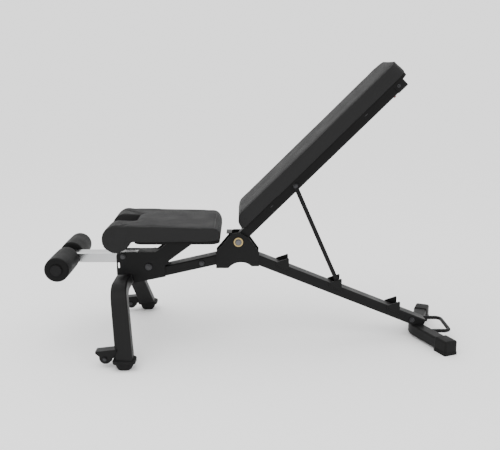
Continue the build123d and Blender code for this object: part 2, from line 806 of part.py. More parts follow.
# ---------------------------------------------------------------- backrest
button_radius = 5
with BuildPart() as backrest_tube:
    with BuildSketch(BACK_SECTION.offset(back_tube_start)):
        with Locations((0, back_middle)):
            RectangleRounded(back_tube_width, back_height, tube_corner)
            RectangleRounded(
                back_tube_width - 2 * tube_wall, back_height - 2 * tube_wall, tube_corner - tube_wall,
                mode=Mode.SUBTRACT,
            )
    extrude(amount=back_tube_end - back_tube_start)
    # cross holes for the pivot sleeve and the prop's sleeve, and the button's hole underneath
    with BuildSketch(side_plane(tube_width)):
        with Locations((pivot_x, pivot_z)):
            Circle(12)
        with Locations((prop_pivot_x, prop_pivot_z)):
            Circle(9)
    extrude(amount=2 * tube_width, mode=Mode.SUBTRACT)
    with BuildSketch(BACK_FACE.offset(back_tube_low)):
        with Locations((button_along, 0)):
            Circle(button_radius + running_clearance)
    extrude(amount=tube_wall, mode=Mode.SUBTRACT)
backrest_tube.part.label = "backrest_tube"
export_step(backrest_tube.part, "parts/backrest_tube.step")

with BuildPart() as backrest_plug:
    with BuildSketch(BACK_SECTION.offset(back_tube_start - 3)):
        with Locations((0, back_middle)):
            RectangleRounded(back_tube_width, back_height, tube_corner)
    extrude(amount=3)
backrest_plug.part.label = "backrest_plug"
export_step(backrest_plug.part, "parts/backrest_plug.step")

cap_bolt_along = 819
cap_bolt_x, cap_bolt_z = on_back(cap_bolt_along, back_middle)
with BuildPart() as backrest_end_cap:
    with BuildSketch(BACK_SECTION.offset(back_tube_end - end_cap_length)):
        with Locations((0, back_middle)):
            RectangleRounded(
                back_tube_width + 2 * end_cap_wall, back_height + 2 * end_cap_wall, tube_corner + end_cap_wall
            )
            RectangleRounded(back_tube_width, back_height, tube_corner, mode=Mode.SUBTRACT)
    extrude(amount=end_cap_length)
    with BuildSketch(BACK_SECTION.offset(back_tube_end)):
        with Locations((0, back_middle)):
            RectangleRounded(
                back_tube_width + 2 * end_cap_wall, back_height + 2 * end_cap_wall, tube_corner + end_cap_wall
            )
    extrude(amount=4)
    fillet(backrest_end_cap.faces().sort_by(Axis((0, 0, 0), BACK.x_dir))[-1].edges(), 2)
backrest_end_cap.part.label = "backrest_end_cap"
export_step(backrest_end_cap.part, "parts/backrest_end_cap.step")

with BuildPart() as end_cap_bolts:
    for side in SIDES.values():
        cap_face = back_half + end_cap_wall
        with BuildSketch(outer_plane(side, cap_face, cap_face + 3)):
            with Locations((cap_bolt_x, cap_bolt_z)):
                Circle(6)
                RegularPolygon(3, 6, mode=Mode.SUBTRACT)
        extrude(amount=3)
end_cap_bolts.part.label = "end_cap_bolts"
export_step(end_cap_bolts.part, "parts/end_cap_bolts.step")

with BuildPart() as prop_sleeve:
    add(ring(prop_pivot_x, prop_pivot_z, -back_half - 0.5, back_half + 0.5, 9,
             prop_bolt_radius + running_clearance))
prop_sleeve.part.label = "prop_sleeve"
export_step(prop_sleeve.part, "parts/prop_sleeve.step")

# spring button: a stem through the tube's underside with a flange inside
with BuildPart() as release_button:
    with BuildSketch(BACK_FACE.offset(back_tube_low - 7)):
        with Locations((button_along, 0)):
            Circle(button_radius)
    extrude(amount=7 + tube_wall + 0.3)
    fillet(release_button.faces().sort_by(Axis((0, 0, 0), BACK.y_dir))[0].edges(), 2)
    with BuildSketch(BACK_FACE.offset(back_tube_low + tube_wall + 0.3)):
        with Locations((button_along, 0)):
            Circle(8)
    extrude(amount=2)
release_button.part.label = "release_button"
export_step(release_button.part, "parts/release_button.step")

pad_bolt_places = [(along, y) for along in pad_bracket_places for y in (-75, 75)]
with BuildPart() as pad_brackets:
    with BuildSketch(BACK_FACE.offset(back_tube_high)):
        with Locations([(along, 0) for along in pad_bracket_places]):
            RectangleRounded(46, 190, 6)
        with Locations(pad_bolt_places):
            Circle(seat_bolt_radius, mode=Mode.SUBTRACT)
    extrude(amount=board_face - back_tube_high)
pad_brackets.part.label = "pad_brackets"
export_step(pad_brackets.part, "parts/pad_brackets.step")

with BuildPart() as backrest_board:
    with BuildSketch(BACK_FACE.offset(board_face)):
        with Locations(((pad_start + pad_end) / 2 + 3, 0)):
            RectangleRounded(pad_end - pad_start - 14, pad_width - 12, pad_corner - 6)
        with Locations(pad_bolt_places):
            Circle(seat_bolt_radius, mode=Mode.SUBTRACT)
    extrude(amount=cushion_face - board_face)
backrest_board.part.label = "backrest_board"
export_step(backrest_board.part, "parts/backrest_board.step")

with BuildPart() as pad_bolts:
    with BuildSketch(BACK_FACE.offset(back_tube_high)):
        with Locations(pad_bolt_places):
            Circle(seat_bolt_radius)
    extrude(amount=cushion_face - back_tube_high)
    with BuildSketch(BACK_FACE.offset(back_tube_high)):
        with Locations(pad_bolt_places):
            RegularPolygon(7.5, 6)
    extrude(amount=-5)
pad_bolts.part.label = "pad_bolts"
export_step(pad_bolts.part, "parts/pad_bolts.step")

# cushion: side profile with a rolled lower end, cut to the plan outline
with BuildPart() as backrest_cushion:
    with BuildSketch(BACK.offset(-pad_width / 2)) as pad_profile:
        with Locations(((pad_start + pad_end) / 2, (cushion_face + pad_top) / 2)):
            Rectangle(pad_end - pad_start, pad_top - cushion_face)
        top_corners = pad_profile.vertices().group_by(Axis.Y)[-1].sort_by(Axis.X)
        fillet(top_corners[0], pad_nose_radius)
        fillet(top_corners[-1], pad_end_radius)
    extrude(amount=pad_width)
    with BuildSketch(BACK_FACE):
        with Locations(((pad_start + pad_end) / 2, 0)):
            RectangleRounded(pad_end - pad_start, pad_width, pad_corner)
    extrude(amount=pad_top + 10, mode=Mode.INTERSECT)
backrest_cushion.part.label = "backrest_cushion"
export_step(backrest_cushion.part, "parts/backrest_cushion.step")

# ---------------------------------------------------------------- prop
with BuildPart() as prop_frame:
    for side in SIDES.values():
        with BuildSketch(PROP.offset(-side * prop_arm_inner)):
            with Locations((prop_length / 2, 0)):
                Rectangle(prop_length, prop_arm_width)
            Circle(prop_eye_radius)
            with Locations((prop_length, 0)):
                Circle(prop_foot_radius)
            Circle(prop_bolt_radius + running_clearance, mode=Mode.SUBTRACT)
        extrude(amount=-side * prop_arm_thickness)
    # tie rod and the foot's cross tube between the arms
    with BuildSketch(PROP.offset(-prop_arm_inner)):
        with Locations((prop_tie_along, 0)):
            Circle(5)
    extrude(amount=2 * prop_arm_inner)
prop_frame.part.label = "prop_frame"
export_step(prop_frame.part, "parts/prop_frame.step")

with BuildPart() as prop_foot_roll:
    with BuildSketch(PROP.offset(-prop_arm_inner)):
        with Locations((prop_length, 0)):
            Circle(prop_foot_radius)
            Circle(prop_foot_radius - 3, mode=Mode.SUBTRACT)
    extrude(amount=2 * prop_arm_inner)
prop_foot_roll.part.label = "prop_foot_tube"
export_step(prop_foot_roll.part, "parts/prop_foot_tube.step")

with BuildPart() as prop_bolt:
    add(cross_bolt(prop_pivot_x, prop_pivot_z, prop_arm_outer + 0.3, prop_bolt_radius, 9, 3.5))
prop_bolt.part.label = "prop_bolt"
export_step(prop_bolt.part, "parts/prop_bolt.step")
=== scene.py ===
"""Looks of the adjustable weight bench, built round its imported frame."""

import json
import logging
import math
from dataclasses import dataclass, field
from enum import Enum

import bmesh
import bpy
from mathutils import Matrix, Vector
from mathutils.bvhtree import BVHTree

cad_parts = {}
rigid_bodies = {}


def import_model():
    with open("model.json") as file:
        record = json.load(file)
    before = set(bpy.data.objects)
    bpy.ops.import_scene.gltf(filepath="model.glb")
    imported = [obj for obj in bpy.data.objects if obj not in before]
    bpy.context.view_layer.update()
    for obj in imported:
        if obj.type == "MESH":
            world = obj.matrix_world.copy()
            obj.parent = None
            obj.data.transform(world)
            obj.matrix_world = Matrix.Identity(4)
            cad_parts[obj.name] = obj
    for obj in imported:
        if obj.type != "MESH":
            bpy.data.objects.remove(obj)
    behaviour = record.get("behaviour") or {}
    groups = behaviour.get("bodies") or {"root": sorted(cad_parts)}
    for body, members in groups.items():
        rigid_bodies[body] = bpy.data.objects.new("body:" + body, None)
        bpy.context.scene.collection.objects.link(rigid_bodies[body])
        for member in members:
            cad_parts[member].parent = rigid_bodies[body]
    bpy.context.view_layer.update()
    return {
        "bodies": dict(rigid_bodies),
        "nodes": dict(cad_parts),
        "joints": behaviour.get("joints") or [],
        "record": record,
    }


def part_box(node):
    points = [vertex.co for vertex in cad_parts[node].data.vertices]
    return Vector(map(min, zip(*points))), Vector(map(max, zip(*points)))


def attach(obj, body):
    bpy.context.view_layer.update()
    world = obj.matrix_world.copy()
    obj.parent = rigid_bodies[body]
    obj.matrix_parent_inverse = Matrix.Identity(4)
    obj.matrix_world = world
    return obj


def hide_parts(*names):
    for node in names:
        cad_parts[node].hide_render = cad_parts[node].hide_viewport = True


log = logging.getLogger("bench")

UP = Vector((0.0, 0.0, 1.0))
CORD_SIDES = 8
WELD_DISTANCE = 0.00005


class Side(Enum):
    """The two sides of the bench."""

    LEFT = -1
    RIGHT = 1

    @property
    def word(self) -> str:
        """Name used in node names."""
        return self.name.lower()


class Light(Enum):
    """The studio's soft lights."""

    KEY = "key"
    FILL = "fill"
    BACK = "back"


# ---------------------------------------------------------------- small helpers
def mesh_piece(name: str, bm: bmesh.types.BMesh, smooth: bool = True) -> bpy.types.Object:
    """Turn a bmesh into an object at the origin.

    Args:
        name: Name of the new piece.
        bm: The shape, which is freed.
        smooth: Whether its faces are shaded smooth.

    Returns:
        The new object, linked to the scene.
    """
    mesh = bpy.data.meshes.new(name)
    bm.to_mesh(mesh)
    bm.free()
    for face in mesh.polygons:
        face.use_smooth = smooth
    piece = bpy.data.objects.new(name, mesh)
    bpy.context.scene.collection.objects.link(piece)
    return piece


def middle_of(node: str) -> Vector:
    """Centre of a frame node's box."""
    low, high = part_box(node)
    return (Vector(low) + Vector(high)) / 2


def size_of(node: str) -> Vector:
    """Size of a frame node's box."""
    low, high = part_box(node)
    return Vector(high) - Vector(low)


def copy_of_node(name: str, node: str) -> bmesh.types.BMesh:
    """Welded copy of a frame node's mesh.

    Args:
        name: What the copy is for, named in the log.
        node: Frame node to copy.

    Returns:
        A bmesh with its doubles merged.
    """
    bm = bmesh.new()
    bm.from_mesh(bpy.data.objects[node].data)
    bmesh.ops.remove_doubles(bm, verts=bm.verts, dist=WELD_DISTANCE)
    bmesh.ops.recalc_face_normals(bm, faces=bm.faces)
    log.info("%s starts from %s", name, node)
    return bm


def lathe(points: list[tuple[float, float]], centre: Vector, steps: int = 64) -> bmesh.types.BMesh:
    """Spin a profile round the Y axis through a centre.

    Args:
        points: (radius, offset along Y) of the profile, both in metres.
        centre: A point on the axis.
        steps: Number of steps of the full turn.

    Returns:
        The closed shape as a bmesh.
    """
    bm = bmesh.new()
    verts = [bm.verts.new(centre + Vector((radius, offset, 0.0))) for radius, offset in points]
    edges = [bm.edges.new(pair) for pair in zip(verts, verts[1:])]
    bmesh.ops.spin(
        bm,
        geom=verts + edges,
        cent=centre,
        axis=(0.0, 1.0, 0.0),
        angle=math.tau,
        steps=steps,
        use_merge=True,
        use_duplicate=False,
    )
    bmesh.ops.remove_doubles(bm, verts=bm.verts, dist=0.00002)
    bmesh.ops.recalc_face_normals(bm, faces=bm.faces)
    return bm


def ordered_loop(bm: bmesh.types.BMesh) -> list[Vector]:
    """Points of a bmesh's longest closed line, in order.

    Args:
        bm: A bmesh of loose edges.

    Returns:
        The points, without repeating the first.
    """
    seen: set[bmesh.types.BMVert] = set()
    loops = []
    for first in bm.verts:
        if first in seen or not first.link_edges:
            continue
        loop, vert = [], first
        while vert is not None:
            seen.add(vert)
            loop.append(vert.co.copy())
            ahead = [edge.other_vert(vert) for edge in vert.link_edges]
            vert = next((other for other in ahead if other not in seen), None)
        loops.append(loop)
    return max(loops, key=len)


def tube(loop: list[Vector], radius: float, sides: int = CORD_SIDES, closed: bool = True) -> bmesh.types.BMesh:
    """Round cord along a line of points.

    Args:
        loop: Points of the line, in order.
        radius: Radius of the cord.
        sides: Number of sides of its section.
        closed: Whether the last point joins the first.

    Returns:
        The cord as a bmesh.
    """
    bm = bmesh.new()
    count = len(loop)
    rings = []
    across = None
    for index, point in enumerate(loop):
        before = loop[index - 1] if closed or index else point
        after = loop[(index + 1) % count] if closed or index + 1 < count else point
        along = (after - before).normalized()
        if across is None:
            across = along.orthogonal()
        across = (across - along * across.dot(along)).normalized()
        third = along.cross(across)
        angles = [math.tau * side / sides for side in range(sides)]
        rings.append([bm.verts.new(point + (across * math.cos(a) + third * math.sin(a)) * radius) for a in angles])
    pairs = list(zip(rings, rings[1:] + rings[:1] if closed else rings[1:]))
    for ring, following in pairs:
        shift = 0
        if following is rings[0]:
            shift = min(range(sides), key=lambda turn: (following[turn].co - ring[0].co).length)
        for side in range(sides):
            step = (side + 1) % sides
            quad = (ring[side], ring[step], following[(step + shift) % sides], following[(side + shift) % sides])
            bm.faces.new(quad)
    if not closed:
        bm.faces.new(rings[0])
        bm.faces.new(rings[-1])
    bmesh.ops.recalc_face_normals(bm, faces=bm.faces)
    return bm


# ---------------------------------------------------------------- shared shader groups
class ShaderGroup:
    """A shader node group made once, with helpers to wire it."""

    def __init__(self, name: str, inputs: dict[str, float], outputs: dict[str, str]) -> None:
        """Make the group with float inputs and typed outputs."""
        self.tree = bpy.data.node_groups.new(name, "ShaderNodeTree")
        for label, value in inputs.items():
            socket = self.tree.interface.new_socket(label, in_out="INPUT", socket_type="NodeSocketFloat")
            socket.default_value = value
        for label, kind in outputs.items():
            self.tree.interface.new_socket(label, in_out="OUTPUT", socket_type=kind)
        self.inside = self.tree.nodes.new("NodeGroupInput")
        self.outside = self.tree.nodes.new("NodeGroupOutput")

    def add(self, kind: str, **settings: object) -> bpy.types.Node:
        """Add a node and set its properties."""
        node = self.tree.nodes.new(kind)
        for label, value in settings.items():
            setattr(node, label, value)
        return node

    def wire(self, source: bpy.types.NodeSocket, target: bpy.types.NodeSocket) -> None:
        """Link two sockets."""
        self.tree.links.new(source, target)


def build_surface_group() -> bpy.types.NodeTree:
    """Mottle and fine bump height shared by paint, rubber, foam and plastic.

    Returns:
        The group, with inputs Scale and Wear and outputs Height and Mottle.
    """
    group = ShaderGroup(
        "fine_surface",
        {"Scale": 900.0, "Wear Scale": 14.0},
        {"Height": "NodeSocketFloat", "Mottle": "NodeSocketFloat"},
    )
    place = group.add("ShaderNodeTexCoord")
    fine = group.add("ShaderNodeTexNoise")
    fine.inputs["Detail"].default_value = 3.0
    fine.inputs["Roughness"].default_value = 0.6
    broad = group.add("ShaderNodeTexNoise")
    broad.inputs["Detail"].default_value = 5.0
    group.wire(place.outputs["Object"], fine.inputs["Vector"])
    group.wire(place.outputs["Object"], broad.inputs["Vector"])
    group.wire(group.inside.outputs["Scale"], fine.inputs["Scale"])
    group.wire(group.inside.outputs["Wear Scale"], broad.inputs["Scale"])
    group.wire(fine.outputs["Fac"], group.outside.inputs["Height"])
    group.wire(broad.outputs["Fac"], group.outside.inputs["Mottle"])
    return group.tree


def build_grain_group() -> bpy.types.NodeTree:
    """Pebbled grain of synthetic leather.

    Returns:
        The group, with input Cell Scale and outputs Height and Crease.
    """
    group = ShaderGroup(
        "leather_grain",
        {"Cell Scale": 620.0},
        {"Height": "NodeSocketFloat", "Crease": "NodeSocketFloat"},
    )
    place = group.add("ShaderNodeTexCoord")
    warp = group.add("ShaderNodeTexNoise")
    warp.inputs["Scale"].default_value = 90.0
    warp.inputs["Detail"].default_value = 2.0
    mix = group.add("ShaderNodeVectorMath", operation="MULTIPLY_ADD")
    mix.inputs[1].default_value = (0.0022, 0.0022, 0.0022)
    cells = group.add("ShaderNodeTexVoronoi", feature="DISTANCE_TO_EDGE")
    ramp = group.add("ShaderNodeMapRange")
    ramp.inputs["From Max"].default_value = 0.22
    group.wire(place.outputs["Object"], warp.inputs["Vector"])
    group.wire(warp.outputs["Color"], mix.inputs[0])
    group.wire(place.outputs["Object"], mix.inputs[2])
    group.wire(mix.outputs["Vector"], cells.inputs["Vector"])
    group.wire(group.inside.outputs["Cell Scale"], cells.inputs["Scale"])
    group.wire(cells.outputs["Distance"], ramp.inputs["Value"])
    group.wire(ramp.outputs["Result"], group.outside.inputs["Height"])
    group.wire(ramp.outputs["Result"], group.outside.inputs["Crease"])
    return group.tree


# ---------------------------------------------------------------- finishes
@dataclass(frozen=True)
class Finish:
    """A surface finish whose colour and roughness vary over the surface.

    Attributes:
        name: Name of the material.
        dark: Darker base colour.
        light: Lighter base colour.
        rough: Lowest and highest roughness.
        metallic: Whether the base is metal.
        coat: Strength of a clear coat.
        grain: Whether the pebbled leather grain is used.
        scale: Size of the fine bump, per metre.
        bump: Depth of the bump, in metres.
        round_edge: Radius of the edge rounding in shading, in metres.
        specular: Specular level.
        sheen: Strength of the sheen.
    """

    name: str
    dark: tuple[float, float, float]
    light: tuple[float, float, float]
    rough: tuple[float, float] = (0.35, 0.5)
    metallic: float = 0.0
    coat: float = 0.0
    grain: bool = False
    scale: float = 900.0
    bump: float = 0.0001
    round_edge: float = 0.0
    specular: float = 0.5
    sheen: float = 0.0

    def build(self, groups: dict[str, bpy.types.NodeTree]) -> bpy.types.Material:
        """Make the material.

        Args:
            groups: The shared shader groups by name.

        Returns:
            The finished material.
        """
        material = bpy.data.materials.new(self.name)
        material.use_nodes = True
        nodes, links = material.node_tree.nodes, material.node_tree.links
        shader = nodes["Principled BSDF"]
        surface = nodes.new("ShaderNodeGroup")
        surface.node_tree = groups["surface"]
        surface.inputs["Scale"].default_value = self.scale
        tint = nodes.new("ShaderNodeMixRGB")
        tint.inputs[1].default_value = (*self.dark, 1.0)
        tint.inputs[2].default_value = (*self.light, 1.0)
        links.new(surface.outputs["Mottle"], tint.inputs[0])
        links.new(tint.outputs[0], shader.inputs["Base Color"])
        spread = nodes.new("ShaderNodeMapRange")
        spread.inputs["From Min"].default_value = 0.3
        spread.inputs["From Max"].default_value = 0.7
        spread.inputs["To Min"].default_value = self.rough[0]
        spread.inputs["To Max"].default_value = self.rough[1]
        links.new(surface.outputs["Mottle"], spread.inputs["Value"])
        links.new(spread.outputs["Result"], shader.inputs["Roughness"])
        bump = nodes.new("ShaderNodeBump")
        bump.inputs["Distance"].default_value = self.bump
        if self.grain:
            grain = nodes.new("ShaderNodeGroup")
            grain.node_tree = groups["grain"]
            links.new(grain.outputs["Height"], bump.inputs["Height"])
        else:
            links.new(surface.outputs["Height"], bump.inputs["Height"])
        if self.round_edge:
            edge = nodes.new("ShaderNodeBevel")
            edge.samples = 4
            edge.inputs["Radius"].default_value = self.round_edge
            links.new(edge.outputs["Normal"], bump.inputs["Normal"])
        links.new(bump.outputs["Normal"], shader.inputs["Normal"])
        shader.inputs["Metallic"].default_value = self.metallic
        shader.inputs["Coat Weight"].default_value = self.coat
        shader.inputs["Specular IOR Level"].default_value = self.specular
        shader.inputs["Sheen Weight"].default_value = self.sheen
        return material


POWDER_COAT = Finish("powder_coat", (0.005, 0.005, 0.0051), (0.0075, 0.0075, 0.0077), (0.4, 0.54),
                     scale=1500.0, bump=0.00012, round_edge=0.0012, specular=0.12)
CHROME = Finish("bright_plate", (0.36, 0.365, 0.37), (0.5, 0.5, 0.505), (0.16, 0.26), metallic=1.0,
                scale=500.0, bump=0.00002, round_edge=0.0008)
ZINC = Finish("zinc_plate", (0.09, 0.09, 0.095), (0.15, 0.15, 0.155), (0.3, 0.45), metallic=1.0,
              scale=1200.0, bump=0.00005, round_edge=0.0005)
BLACK_BOLT = Finish("blackened_steel", (0.035, 0.035, 0.037), (0.06, 0.06, 0.063), (0.3, 0.45), metallic=1.0,
                    scale=1200.0, bump=0.00005, round_edge=0.0005)
BRASS = Finish("brass", (0.3, 0.22, 0.09), (0.42, 0.32, 0.15), (0.2, 0.34), metallic=1.0,
               scale=900.0, bump=0.00003, round_edge=0.0005)
RUBBER = Finish("rubber", (0.003, 0.003, 0.003), (0.006, 0.006, 0.006), (0.55, 0.72),
                scale=2200.0, bump=0.00012, round_edge=0.001, specular=0.15)
PLASTIC = Finish("moulded_plastic", (0.003, 0.003, 0.0032), (0.006, 0.006, 0.0062), (0.35, 0.5),
                 scale=2600.0, bump=0.00008, round_edge=0.0008, specular=0.14)
FOAM = Finish("foam_skin", (0.003, 0.003, 0.0031), (0.006, 0.006, 0.0061), (0.5, 0.66),
              scale=1700.0, bump=0.00025, specular=0.1)
VINYL = Finish("upholstery", (0.011, 0.011, 0.0112), (0.015, 0.015, 0.0152), (0.58, 0.7), grain=True,
               bump=0.00018, specular=0.12)
THREAD = Finish("seam_welt", (0.006, 0.006, 0.006), (0.009, 0.009, 0.009), (0.5, 0.62),
                scale=1800.0, bump=0.0002, specular=0.2)
BOARD = Finish("black_board", (0.003, 0.003, 0.003), (0.007, 0.0068, 0.0066), (0.6, 0.78),
               scale=700.0, bump=0.0002, specular=0.12)
RED = Finish("red_plastic", (0.14, 0.006, 0.008), (0.2, 0.01, 0.01), (0.25, 0.35), coat=0.4,
             scale=1500.0, bump=0.00004)
FINISHES = (POWDER_COAT, CHROME, ZINC, BLACK_BOLT, BRASS, RUBBER, PLASTIC, FOAM, VINYL, THREAD, BOARD, RED)


class Paintbox:
    """Every finish as a material, by name."""

    def __init__(self) -> None:
        """Build the groups and the materials."""
        groups = {"surface": build_surface_group(), "grain": build_grain_group()}
        self.materials = {finish.name: finish.build(groups) for finish in FINISHES}

    def coat(self, piece: bpy.types.Object, finish: Finish) -> None:
        """Give a piece one finish all over."""
        piece.data.materials.clear()
        piece.data.materials.append(self.materials[finish.name])
        for face in piece.data.polygons:
            face.material_index = 0


# ---------------------------------------------------------------- frame nodes
@dataclass
class FrameNodes:
    """The metal, rubber and plastic nodes that keep their shape.

    Attributes:
        finishes: Finish of each record slot.
    """

    finishes: dict[str, Finish] = field(
        default_factory=lambda: {
            "frame_paint": POWDER_COAT,
            "chrome_bar": CHROME,
            "zinc_fasteners": BLACK_BOLT,
            "brass": BRASS,
            "black_rubber": RUBBER,
            "foam_skin": FOAM,
            "black_plastic": PLASTIC,
            "red_plastic": RED,
            "upholstery": VINYL,
            "board": BOARD,
        }
    )
    bright: tuple[str, ...] = ("pivot_bolt",)

    def dress(self, frame: dict, paint: Paintbox) -> None:
        """Give every node the finish of its slot."""
        for row in frame["record"]["subparts"]:
            finish = ZINC if row["node"] in self.bright else self.finishes[row["material_slot"]]
            paint.coat(frame["nodes"][row["node"]], finish)
        log.info("dressed %d frame nodes", len(frame["nodes"]))


# ---------------------------------------------------------------- upholstery
@dataclass
class Cushion:
    """A foam cushion under a boxed cover, with a welt round its top panel.

    Attributes:
        name: Name of the piece.
        node: Frame node that it stands for.
        body: Body that it rides on.
        outward: Direction away from its board.
        forward: Direction across its length in the board's plane.
        shrink: How far the start shape is drawn in, in metres.
        swell: Most that a point may move as the cover fills, in metres.
        voxel: Size of the cloth's grid, in metres.
        welt_depth: Distance of the welt below the top panel, in metres.
        tilt: Slope of the top panel along forward, as rise over run.
        welt_radius: Radius of the welt, in metres.
        welt_step: Shortest distance between points of the welt, in metres.
        welt_smoothings: How often the welt's line is smoothed.
        pressure: Pressure inside the cover.
        tension: Stiffness of the cover against stretch.
        bending: Stiffness of the cover against bending.
        frames: Number of frames that the cover has to settle.
    """

    name: str
    node: str
    body: str
    outward: Vector
    forward: Vector
    shrink: float = 0.0012
    swell: float = 0.0028
    voxel: float = 0.005
    welt_depth: float = 0.004
    tilt: float = 0.0
    welt_radius: float = 0.0011
    welt_step: float = 0.0015
    welt_smoothings: int = 3
    pressure: float = 4.5
    tension: float = 30.0
    bending: float = 2.0
    frames: int = 20

    def build(self, paint: Paintbox) -> None:
        """Make the cushion and its welt, and put them on the frame."""
        piece = mesh_piece(self.name, copy_of_node(self.name, self.node))
        self.remesh(piece)
        floor = min(vertex.co.dot(self.outward) for vertex in piece.data.vertices)
        self.draw_in(piece, floor)
        self.fill(piece, floor)
        for face in piece.data.polygons:
            face.use_smooth = True
        paint.coat(piece, VINYL)
        welt = self.welt(piece)
        paint.coat(welt, THREAD)
        smooth = piece.modifiers.new("soften", "SUBSURF")
        smooth.levels = smooth.render_levels = 1
        for part in (piece, welt):
            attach(part, self.body)
        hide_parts(self.node)
        log.info("%s has %d vertices", self.name, len(piece.data.vertices))

    def remesh(self, piece: bpy.types.Object) -> None:
        """Give the piece an even grid of faces."""
        grid = piece.modifiers.new("grid", "REMESH")
        grid.mode = "VOXEL"
        grid.voxel_size = self.voxel
        self.apply(piece)

    def apply(self, piece: bpy.types.Object) -> None:
        """Make a piece's modifiers part of its mesh."""
        bpy.context.view_layer.update()
        graph = bpy.context.evaluated_depsgraph_get()
        mesh = bpy.data.meshes.new_from_object(piece.evaluated_get(graph))
        log.info("%s applied with %d vertices", piece.name, len(mesh.vertices))
        piece.modifiers.clear()
        old = piece.data
        piece.data = mesh
        bpy.data.meshes.remove(old)

    def draw_in(self, piece: bpy.types.Object, floor: float) -> None:
        """Draw the cover in by the shrink, without lifting its underside off the board."""
        moves = []
        for vertex in piece.data.vertices:
            step = -vertex.normal * self.shrink
            if vertex.co.dot(self.outward) - floor < self.voxel:
                step -= self.outward * step.dot(self.outward)
            moves.append(step)
        for vertex, step in zip(piece.data.vertices, moves):
            vertex.co += step

    def fill(self, piece: bpy.types.Object, floor: float) -> None:
        """Blow the cover up like foam under pressure, then hold each point near its start."""
        scene = bpy.context.scene
        start = [vertex.co.copy() for vertex in piece.data.vertices]
        held = piece.vertex_groups.new(name="held")
        held.add([i for i, co in enumerate(start) if co.dot(self.outward) - floor < 0.6 * self.voxel], 1.0, "ADD")
        cloth = piece.modifiers.new("cover", "CLOTH")
        cloth.settings.use_pressure = True
        cloth.settings.uniform_pressure_force = self.pressure
        cloth.settings.effector_weights.gravity = 0.0
        cloth.settings.vertex_group_mass = "held"
        cloth.settings.tension_stiffness = self.tension
        cloth.settings.bending_stiffness = self.bending
        cloth.settings.quality = 5
        cloth.point_cache.frame_start = 1
        cloth.point_cache.frame_end = self.frames
        for step in range(1, self.frames + 1):
            scene.frame_set(step)
        self.apply(piece)
        scene.frame_set(1)
        for vertex, origin in zip(piece.data.vertices, start):
            move = vertex.co - origin
            if move.length > self.swell:
                move *= self.swell / move.length
            vertex.co = origin + move

    def welt(self, piece: bpy.types.Object) -> bpy.types.Object:
        """Thin sewn welt round the top panel, cut from the cushion's own surface.

        Args:
            piece: The finished cushion.

        Returns:
            The welt as its own piece.
        """
        normal = (self.outward - self.forward * self.tilt).normalized()
        anchor = max(piece.data.vertices, key=lambda vertex: vertex.co.dot(normal)).co.copy()
        bm = bmesh.new()
        bm.from_mesh(piece.data)
        bmesh.ops.bisect_plane(
            bm,
            geom=bm.verts[:] + bm.edges[:] + bm.faces[:],
            plane_co=anchor - normal * self.welt_depth,
            plane_no=normal,
            clear_inner=True,
            clear_outer=True,
        )
        bmesh.ops.remove_doubles(bm, verts=bm.verts, dist=self.welt_step)
        for _ in range(self.welt_smoothings):
            bmesh.ops.smooth_vert(bm, verts=bm.verts, factor=0.5, use_axis_x=True, use_axis_y=True, use_axis_z=True)
        loop = ordered_loop(bm)
        bm.free()
        return mesh_piece(self.name + "_welt", tube(loop, self.welt_radius))


# ---------------------------------------------------------------- foam rollers
@dataclass
class FoamRoller:
    """A foam tube that turns on the axle of the leg brace.

    Attributes:
        side: Side of the bench that it is on.
        bulge: How far the foam stands out at its middle, in metres.
        edge: Radius of its rounded ends, in metres.
        bore: Radius of the axle, in metres.
    """

    side: Side
    bulge: float = 0.0006
    edge: float = 0.007
    bore: float = 0.0127
    rings: int = 12

    def profile(self, radius: float, half: float) -> list[tuple[float, float]]:
        """Outline of half a roller's section, from bore to bore.

        Args:
            radius: Outer radius.
            half: Half its length.

        Returns:
            Points of (radius, offset along the axle).
        """
        skin = radius - self.bulge
        points = [(self.bore, -half + 0.002), (self.bore + 0.004, -half + 0.0005)]
        points.append((skin - self.edge, -half))
        turn = [math.radians(18 * step) for step in range(1, 6)]
        points += [
            (skin - self.edge + self.edge * math.sin(a), -half + self.edge - self.edge * math.cos(a)) for a in turn
        ]
        run = half - self.edge
        for step in range(1, self.rings):
            t = -1 + 2 * step / self.rings
            points.append((skin + self.bulge * (1 - t * t), run * t))
        mirrored = [(r, -offset) for r, offset in reversed(points[: 3 + len(turn)])]
        return points + mirrored + [points[0]]

    def build(self, paint: Paintbox) -> None:
        """Make the roller and put it on its body."""
        node = f"foam_roller_{self.side.word}"
        size = size_of(node)
        bm = lathe(self.profile(size.z / 2, size.y / 2), middle_of(node), steps=96)
        piece = mesh_piece(f"foam_grip_{self.side.word}", bm)
        paint.coat(piece, FOAM)
        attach(piece, f"roller_{self.side.word}")
        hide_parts(node)


